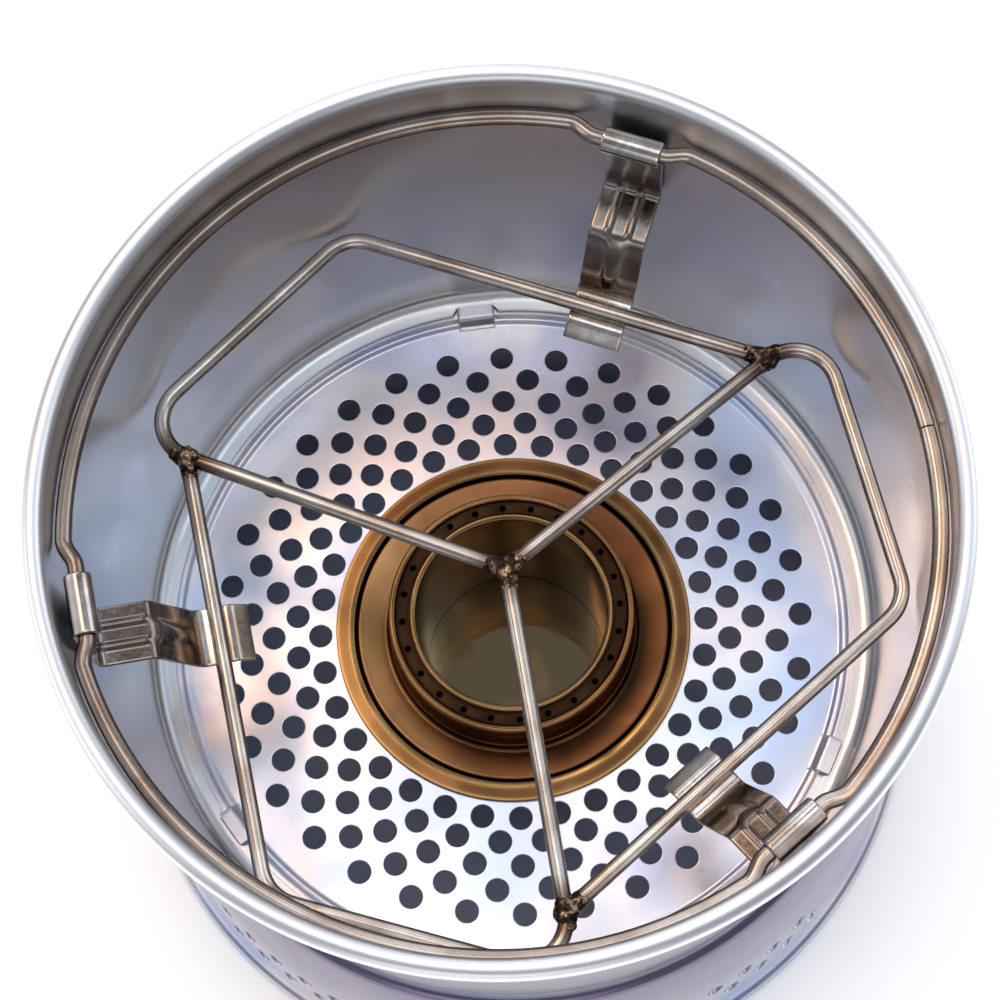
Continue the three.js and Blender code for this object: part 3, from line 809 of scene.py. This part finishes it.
# %% Make the supports
TRIVET_Z = PLATE + 45.0
THICK = 0.8
wall_trivet = wall_inside(TRIVET_Z)
NODE = 0.8565 * wall_trivet
CORNER = np.array([0.699, -0.6953]) * wall_trivet
seat_z = TRIVET_Z - WIRE - GAP - THICK / 2
ledge_z = seat_z + 15.2
wire_on_seat = (NODE * np.sin(np.radians(60)) - CORNER[1]) / 2
seat_in, seat_out = wire_on_seat - 2.4, wire_on_seat + 4.6
back_foot = wall_inside(ledge_z) - 2 * GAP - THICK / 2
knee = seat_out + 0.41 * (back_foot - seat_out)
BARREL = WIRE + GAP + THICK / 2
strip_line = np.concatenate([
    circle_arc(HINGE, RAIL_Z, BARREL, 290, 6, 44),
    rounded([
        (HINGE + BARREL, RAIL_Z), (back_foot, ledge_z), (knee, ledge_z - 1.4),
        (seat_out, seat_z), (seat_in, seat_z), (seat_in - 3.0, seat_z - 2.4),
    ], [1.8, 1.5, 2.6, 1.4], 9, guard=0.15),
])


def length_at(r, z):
    """Length along the strip, past its barrel, of the point nearest to (r, z)."""
    past = run > 12
    return run[past][np.argmin(np.hypot(*(fine_line[past] - [r, z]).T))]


fine_line = resample(strip_line, 0.4)
run = np.concatenate([[0], np.cumsum(np.hypot(*np.diff(fine_line, axis=0).T))])
knee_s = length_at(knee, ledge_z - 1.4)
seat_s = length_at(seat_out, seat_z)
ledge_s = length_at(back_foot, ledge_z)


def pressed(s, y):
    """Ribs and dart: two ridges along the ledge, and a tapering bulge below the knee."""
    on_ledge = band(s, ledge_s - 5, ledge_s + 1, knee_s - 1.6, knee_s + 0.2)
    ribs = sum(np.exp(-((y - offset) / 0.62) ** 4) for offset in (-2.1, 2.1))
    down = np.clip((s - knee_s) / (seat_s - knee_s), 0, 1)
    wide = 2.4 - 1.5 * down
    dart = np.exp(-(y / wide) ** 4) * band(s, knee_s - 0.5, knee_s + 2, seat_s - 5.5, seat_s - 1.5)
    return 0.5 * ribs * on_ledge + 0.55 * dart


def support_darkening(x, y, z):
    """Darker on the steep length, the ledge and the lip, and not on the seat."""
    steep = band(z, seat_z + 1.2, seat_z + 3.5, ledge_z - 5.5, ledge_z - 2.2)
    ledge = band(z, ledge_z - 4.0, ledge_z - 2.0, ledge_z + 4, ledge_z + 9)
    lip = 1 - smoothstep(z, seat_z - 2.2, seat_z - 1.0)
    return 0.6 * steep + 0.65 * ledge + 0.8 * lip


# Each strip sits where its trivet wire left it, a little along its pin.
for n, (station, slide) in enumerate(zip(STATIONS, (-0.7, 0.8, 0.2)), 1):
    points, faces = strip(fine_line, STRIP_WIDTH, THICK, shape=pressed, sides=36)
    points = about_axis(points + [0, slide, 0], station)
    support = mesh_object(f"support_strip_{n}", [(points, faces)], 45)
    paint(support, support_darkening)
    keep(support, f"pot_support_{n}", "steel", strip_metal, f"pot_support_{n}")

# %% [markdown]
# ## The trivet
# Three equal wires make the trivet. Each runs out from the middle as a spoke, bends round, and
# comes back as a long side that meets the next spoke. The welds are lumpy beads where wires meet.

# %% Make the trivet's wires
SPOKES = (28, 148, 268)


def polar(radius, degrees):
    """The point at a radius and an angle, in the trivet's plane."""
    a = np.radians(degrees)
    return radius * np.cos(a), radius * np.sin(a)


def trivet_path():
    """The middle line of one wire, its spoke along +X and its two bends rounded."""
    corners = [(0.0, 0.0), (1.0202 * wall_trivet, 0.0), tuple(CORNER), polar(NODE, -120)]
    flat = resample(rounded(corners, [8.5, 8.5], 14, guard=0.02), 0.7)[:-1]
    return np.column_stack([flat, np.full(len(flat), TRIVET_Z)])


def heat(x, y, z):
    """Dark heat marks that fade within a few millimetres of the four welds."""
    spots = [(0.0, 0.0)] + [polar(NODE, spoke) for spoke in SPOKES]
    near = np.min([np.hypot(x - px, y - py) for px, py in spots], axis=0)
    return 0.9 * (1 - smoothstep(near, 2.6, 8.5))


wire_path = trivet_path()
for n, spoke in enumerate(SPOKES):
    path = about_axis(wire_path, spoke)
    wire = mesh_object(f"trivet_rod_{n + 1}", [tube(path, WIRE_SHOWN, 20)], 50)
    paint(wire, heat)
    keep(wire, "trivet", "steel", wire_metal, f"trivet_wire_{n + 1}")


# %% Make the welds
def lump(centre, size, seed, rows=28, cols=36):
    """A ball with radii size, its surface raised and sunk by a few soft waves."""
    v = np.linspace(0, np.pi, rows)[:, None]
    u = np.linspace(0, 2 * np.pi, cols, endpoint=False)[None, :]
    ball = np.stack([np.sin(v) * np.cos(u), np.sin(v) * np.sin(u), np.cos(v) + 0 * u], -1)
    rng = np.random.default_rng(seed)
    waves = rng.normal(size=(14, 3)) * np.linspace(2, 7, 14)[:, None]
    phase = rng.uniform(0, 2 * np.pi, 14)
    swell = 1 + np.sin(ball @ waves.T + phase).sum(-1, keepdims=True) * 0.022
    return np.asarray(centre) + ball * np.asarray(size) * swell, quads(rows, cols, wrap_cols=True)


def weld(name, centre, arms, seed):
    """A weld: a lump in the middle, and a fading sleeve of small lumps along each wire."""
    patches = [lump(centre, (2.35, 2.35, 2.0), seed)]
    for k, (direction, reach) in enumerate(arms):
        along = np.array([*polar(1.0, direction), 0])
        for m, (share, size) in enumerate(((0.55, 1.95), (1.0, 1.8), (1.4, 1.62))):
            spot = np.asarray(centre) + along * reach * share
            patches.append(lump(spot, (size, size, size), seed + 5 * k + m + 1, 20, 26))
    obj = mesh_object(name, patches, 60)
    keep(obj, "trivet", "steel", weld_metal)


weld("weld_middle", (0, 0, TRIVET_Z), [(spoke, 2.6) for spoke in SPOKES], 5)
side = wire_path[-1] - wire_path[-40]
side_turn = np.degrees(np.arctan2(side[1], side[0]))
for n, spoke in enumerate(SPOKES):
    met = spoke - 120
    arms = [(side_turn + spoke + 180, 3.0), (met + 180, 1.6), (met, 1.6)]
    weld(f"weld_outer_{n + 1}", (*polar(NODE, met), TRIVET_Z), arms, 20 + 10 * n)

# %% [markdown]
# ## The burner
# The burner is pressed brass: a cup that hangs in the plate by its collar, and a top with a ledge,
# a threaded gallery wall and a channel with 24 jets round the open well. Heat has turned it brown,
# and its crests and edges carry a painted golden highlight. Turned profiles again, with pierced
# cells for the jets.

# %% Make the cup
BRASS = 0.7
COLLAR_Z = PLATE + GAP
BASE_Z = PLATE - 32.0
LIP = CUP - BRASS
collar_top = COLLAR_Z + BRASS
bowl_floor = BASE_Z + BRASS
burner_turn = np.linspace(0, 2 * np.pi, COLUMNS, endpoint=False) + np.pi / COLUMNS
cup_line = np.concatenate([
    rounded([
        (0.0, BASE_Z), (CUP - 4.0, BASE_Z), (CUP - 1.6, BASE_Z + 2.4), (CUP - 0.05, COLLAR_Z),
        (COLLAR, COLLAR_Z), (COLLAR, collar_top), (COLLAR - 0.9, collar_top),
        (LIP + 2.1, collar_top), (LIP + 1.2, collar_top), (LIP + 0.1, collar_top + 0.55),
        (LIP - 0.05, COLLAR_Z - 0.5), (CUP - 2.3, BASE_Z + 3.0), (CUP - 4.4, bowl_floor),
        (CUP - 8.0, bowl_floor),
    ], [0.8, 1.2, 0.25, 0.2, 0.25, 0, 0, 0.5, 0.3, 0.2, 1.2, 1.2], 4),
    np.stack([np.linspace(CUP - 8.2, 0, 48), np.full(48, bowl_floor)], -1),
])
cup = mesh_object("burner_bowl", [lathe(cup_line, burner_turn, wrap=False)])


def fuel_film_and_reflection(x, y, z):
    """A glossy film on the bowl's floor, with soft dark streaks as a painted reflection."""
    streak = np.sin(0.21 * x - 0.33 * y + 1.6 * np.sin(0.16 * y + 0.09 * x))
    streak = smoothstep(streak + 0.5 * np.sin(0.55 * x + 0.2 * y), 0.2, 1.25)
    return (1 - 0.3 * streak) * (z < PLATE - 4) * (np.hypot(x, y) < CUP - 1.2)


def line_at(r, middle, width):
    """1 on a circle of radius middle, fading over a width on either side."""
    return np.exp(-((r - middle) / width) ** 2)


def collar_highlight(x, y, z):
    """Painted highlight on the collar's inner crest and outer edge, a little painted light on one
    side.
    """
    r = np.hypot(x, y)
    edges = line_at(r, CUP + 0.25, 0.32) + 0.42 * line_at(r, COLLAR - 0.4, 0.3)
    return (z > COLLAR_Z + 0.4) * (edges + 0.24 * smoothstep(-x, 22, 38))


paint(cup, fuel_film_and_reflection)
paint(cup, collar_highlight, "painted_highlight")
keep(cup, "burner", "brass", bowl_metal, "burner_cup")

# %% Make the burner's top with its jets
WELL = 19.9
CHANNEL = 5.7
GALLERY = WELL + CHANNEL
TOP = PLATE + 13.2
JETS = 24
JET = 0.65
JET_CELL = 1.0
jet_r = WELL + CHANNEL / 2
floor_z = TOP - 1.2
ledge_r = LIP - 0.45
DISH = 0.75
THREAD_PITCH, THREAD_DEPTH = 2.3, 0.16
above = np.linspace(1.6, TOP - 3.2 - collar_top, 49)
thread_z = collar_top + above
thread_wave = THREAD_DEPTH * np.cos(above / THREAD_PITCH * 2 * np.pi)
thread_r = GALLERY + 0.35 - 0.35 * above / 12 + thread_wave
outer_top = np.concatenate([
    rounded([(ledge_r - BRASS, collar_top - 5.5), (ledge_r + 0.3, collar_top - 5.5),
             (ledge_r, collar_top), (GALLERY + 0.9, collar_top - DISH),
             (GALLERY + 0.6, collar_top + 1.4)], [0.1, 0.5, 0.7], 5),
    np.stack([thread_r, thread_z], -1),
    rounded([(GALLERY, TOP - 2.6), (GALLERY - 0.05, TOP - 0.1), (GALLERY - 1.35, TOP - 0.1),
             (GALLERY - 1.55, floor_z), (jet_r + JET_CELL, floor_z)], [0.6, 0.6, 0.4], 5),
])
inner_top = np.array([
    [jet_r - JET_CELL, floor_z], [WELL + BRASS + 1.0, floor_z + 0.1],
    [WELL + BRASS + 0.45, floor_z + 0.1], [WELL + BRASS + 0.4, floor_z - 1.4],
    [jet_r - JET_CELL, floor_z - BRASS],
])
under_top = np.array([
    [jet_r + JET_CELL, floor_z - BRASS], [GALLERY - 1.6, floor_z - BRASS],
    [GALLERY - BRASS, floor_z - 1.8], [GALLERY - 0.2, collar_top - 0.9 - DISH],
    [ledge_r - BRASS, collar_top - 0.9], [ledge_r - BRASS, collar_top - 5.5],
])


def floor_place(xy, depth):
    """A point of the jet channel's floor, at a depth below its top face."""
    return np.concatenate([xy, np.full(xy.shape[:-1] + (1,), floor_z - depth)], -1)


jet_angle = 2 * np.pi / JETS * (np.arange(JETS) + 0.5) + burner_turn[0]
cell_r = np.full(JET_COLUMNS + 1, jet_r)
across, height = cell_border(JET_COLUMNS, CELL_ROWS, cell_r - JET_CELL, cell_r + JET_CELL)
theta = jet_angle[:, None] + across * np.pi / JETS
jets = pierced(
    np.stack([jet_r * np.cos(jet_angle), jet_r * np.sin(jet_angle)], -1),
    np.stack([height * np.cos(theta), height * np.sin(theta)], -1),
    JET, [(None, 0), (0.12, 0), (0.03, 0.03), (0, 0.12), (0, BRASS), (None, BRASS)], floor_place,
)
top = mesh_object("burner_ring", [
    lathe(np.concatenate([under_top, outer_top]), burner_turn, wrap=False),
    lathe(inner_top, burner_turn, wrap=False),
    jets,
])


def gallery_soot_and_shade(x, y, z):
    """Soot in the jet channel, painted shade low on the gallery's wall and on one side of the
    ledge.
    """
    r = np.hypot(x, y)
    channel = (1 - smoothstep(r, GALLERY - 1.9, GALLERY - 1.2)) * (z > floor_z - 2)
    wall = band(r, GALLERY - 0.4, GALLERY, GALLERY + 0.7, GALLERY + 2.6) * (z < TOP - 2.4)
    far_side = smoothstep(x, 4, 26) * (r > GALLERY + 0.9)
    return 0.92 * channel + 0.6 * wall + 0.42 * far_side


def gallery_highlight(x, y, z):
    """Painted highlight on the gallery's crest, and a little painted light on the other side of the
    ledge.
    """
    r = np.hypot(x, y)
    crest = 0.35 * line_at(r, GALLERY - 0.5, 0.35) * (z > TOP - 1.2)
    return crest + 0.22 * smoothstep(-x, 8, 26) * (r > GALLERY + 1.5)


paint(top, gallery_soot_and_shade)
paint(top, gallery_highlight, "painted_highlight")
keep(top, "burner", "brass", brass_metal, "burner_top")

# %% Make the well's wall
well_foot = bowl_floor + GAP
well_line = rounded([
    (WELL + BRASS, well_foot), (WELL + BRASS, TOP - 0.9), (WELL + BRASS + 0.8, TOP - 0.4),
    (WELL + 0.9, TOP + 0.2), (WELL, TOP - 0.3), (WELL, well_foot), (WELL + BRASS, well_foot),
], [0.2, 0.25, 0.35, 0.5, 0.1], 5)[:-1]
well = mesh_object("burner_well_wall", [lathe(well_line, burner_turn)])


def well_soot(x, y, z):
    """Dark all the way down, from just below the lip."""
    return 0.9 * (1 - smoothstep(z, TOP - 3.0, TOP - 1.0))


def well_highlight(x, y, z):
    """A little painted highlight on the lip."""
    return 0.3 * smoothstep(z, TOP - 0.6, TOP)


paint(well, well_soot)
paint(well, well_highlight, "painted_highlight")
keep(well, "burner", "brass", well_metal, "burner_sleeve")

# %% Make the wick
wick_in, wick_out = WELL + BRASS + GAP, CUP - 2.9
wick_low, wick_high = BASE_Z + 1.0, PLATE - 10.0
wick_line = rounded([
    (wick_in, wick_low), (wick_out - 1.9, wick_low), (wick_out, wick_low + 2.6),
    (wick_out, wick_high), (wick_in, wick_high), (wick_in, wick_low),
], [0.3, 0.8, 0.8, 0.8], 4)[:-1]
wick_r, wick_z = wick_line[:, :1], wick_line[:, 1:]
strands = 0.12 * np.sin(burner_turn * 40) * (wick_z > wick_low + 3)
points = turned(wick_r + strands, wick_z, burner_turn)
faces = quads(*points.shape[:2], wrap_rows=True, wrap_cols=True)
wick = mesh_object("wick_ring", [(points, faces)])
cotton = bpy.data.materials.new("charred_cotton")
cotton.use_nodes = True
tree = cotton.node_tree
shader = tree.nodes["Principled BSDF"]
shader.inputs["Roughness"].default_value = 0.95
weave = add(tree, "TexNoise", Scale=900.0, Detail=5.0)
tree.links.new(add(tree, "TexCoord").outputs["Object"], weave.inputs["Vector"])
tree.links.new(
    ramp(tree, weave.outputs["Fac"], [(0.35, (0.20, 0.17, 0.14)), (0.6, (0.55, 0.50, 0.43))]),
    shader.inputs["Base Color"],
)
bump = add(tree, "Bump", Strength=0.6, Distance=0.0004)
tree.links.new(weave.outputs["Fac"], bump.inputs["Height"])
tree.links.new(bump.outputs["Normal"], shader.inputs["Normal"])
keep(wick, "burner", "cotton", cotton, "burner_wick")

# %% [markdown]
# ## The studio
# Metal shows what is round it, so the light is a few large soft panels: a white one overhead that
# the plate mirrors to the camera, a warm one and three cool ones that the walls mirror, three boxes
# for the sides and a fill in front, in a dim blue-grey room. Lamps are cheap to turn and resize.

# %% Light panels
def panel(name, towards, distance, size, radiance, colour, spin=0.0):
    """A soft rectangular lamp in a direction from the plate, facing it, with a given radiance."""
    direction = Vector(towards).normalized()
    data = bpy.data.lights.new(name, "AREA")
    data.shape, data.size, data.size_y = "RECTANGLE", size[0], size[1]
    data.energy = radiance * np.pi * size[0] * size[1]
    data.color = colour
    obj = bpy.data.objects.new(name, data)
    obj.matrix_world = (
        Matrix.Translation(direction * distance + Vector((0, 0, PLATE * MM)))
        @ direction.to_track_quat("Z", "Y").to_matrix().to_4x4()
        @ Matrix.Rotation(np.radians(spin), 4, "Z")
    )
    obj.visible_camera = False
    bpy.context.scene.collection.objects.link(obj)
    print(f"{name}: {data.energy:.2f} W")


panel("overhead", (0.02, -0.03, 1.0), 1.4, (0.64, 0.66), 1.42, (0.96, 0.975, 1.0), spin=-27)
panel("warm_side", (-0.24, 0.37, 0.90), 1.5, (0.42, 0.60), 4.3, (1.0, 0.66, 0.44))
panel("left_sky", (-0.50, -0.02, 0.87), 1.5, (0.34, 0.8), 0.62, (0.82, 0.90, 1.0))
panel("cool_side", (0.40, 0.08, 0.91), 1.5, (0.56, 0.75), 0.85, (0.55, 0.76, 1.0))
panel("back_sky", (0.05, 0.58, 0.81), 1.6, (0.9, 0.65), 1.2, (0.84, 0.89, 1.0))
panel("left_box", (-0.88, 0.1, 0.48), 1.7, (1.2, 0.95), 1.4, (0.97, 0.98, 1.0))
panel("back_box", (0.0, 0.90, 0.42), 1.7, (1.3, 0.7), 1.1, (0.95, 0.97, 1.0))
panel("right_box", (0.88, 0.2, 0.48), 1.7, (1.2, 0.95), 1.3, (0.97, 0.97, 1.0))
panel("front_fill", (-0.3, -1.0, 0.45), 1.8, (1.2, 0.8), 1.1, (0.96, 0.98, 1.0))

world = bpy.data.worlds.new("room")
bpy.context.scene.world = world
world.use_nodes = True
room = world.node_tree.nodes["Background"]
room.inputs["Color"].default_value = (0.80, 0.86, 1.0, 1.0)
room.inputs["Strength"].default_value = 0.29

# %% [markdown]
# ## The floor
# A pale floor carries the stove's shadow. Its white glow shows only to the camera and in glossy and
# clear things, so it lights nothing, and it fades where the stove shuts the sky out. Under the
# stove the floor is painted a darker blue grey, a painted shade, and has no glow, so the air holes
# read dark.

# %% The floor
FLOOR_HALF = 3000.0
edges = (-FLOOR_HALF, FLOOR_HALF)
floor_points = np.array([[[x, y, 0] for x in edges] for y in edges])
floor = mesh_object("floor", [(floor_points, quads(2, 2))])
pale = bpy.data.materials.new("pale_floor")
pale.use_nodes = True
tree = pale.node_tree
shader = tree.nodes["Principled BSDF"]
shader.inputs["Roughness"].default_value = 0.9
# Under the stove the floor takes a painted shade, a darker blue grey.
PAINTED_SHADE_UNDER_STOVE, OUTSIDE = (0.70, 0.77, 0.98), (0.90, 0.89, 0.87)


def combine(tree, operation, first, second):
    """Two values joined by a Math node."""
    node = add(tree, "Math", operation=operation)
    tree.links.new(first, node.inputs[0])
    tree.links.new(second, node.inputs[1])
    return node.outputs[0]


radius, _ = from_axis(tree, add(tree, "TexCoord").outputs["Object"])
clear = span(tree, radius, 78 * MM, 84 * MM, 0.0, 1.0)
colour = ramp(tree, clear, [(0.0, PAINTED_SHADE_UNDER_STOVE), (1.0, OUTSIDE)])
tree.links.new(colour, shader.inputs["Base Color"])
path = add(tree, "LightPath").outputs
seen = combine(tree, "MAXIMUM", path["Is Camera Ray"], path["Is Glossy Ray"])
seen = combine(tree, "MAXIMUM", seen, path["Is Transmission Ray"])
open_air = add(tree, "AmbientOcclusion", samples=8, Distance=0.06)
lit = span(tree, open_air.outputs["AO"], 0.3, 0.85, 0.0, 0.56)
white = combine(tree, "MULTIPLY", combine(tree, "MULTIPLY", seen, lit), clear)
glow = add(tree, "Emission", Color=(1, 1, 1, 1))
tree.links.new(white, glow.inputs["Strength"])
both = add(tree, "AddShader")
tree.links.new(shader.outputs[0], both.inputs[0])
tree.links.new(glow.outputs[0], both.inputs[1])
tree.links.new(both.outputs[0], tree.nodes["Material Output"].inputs["Surface"])
floor.data.materials.append(pale)
bpy.context.scene.view_settings.view_transform = "Standard"
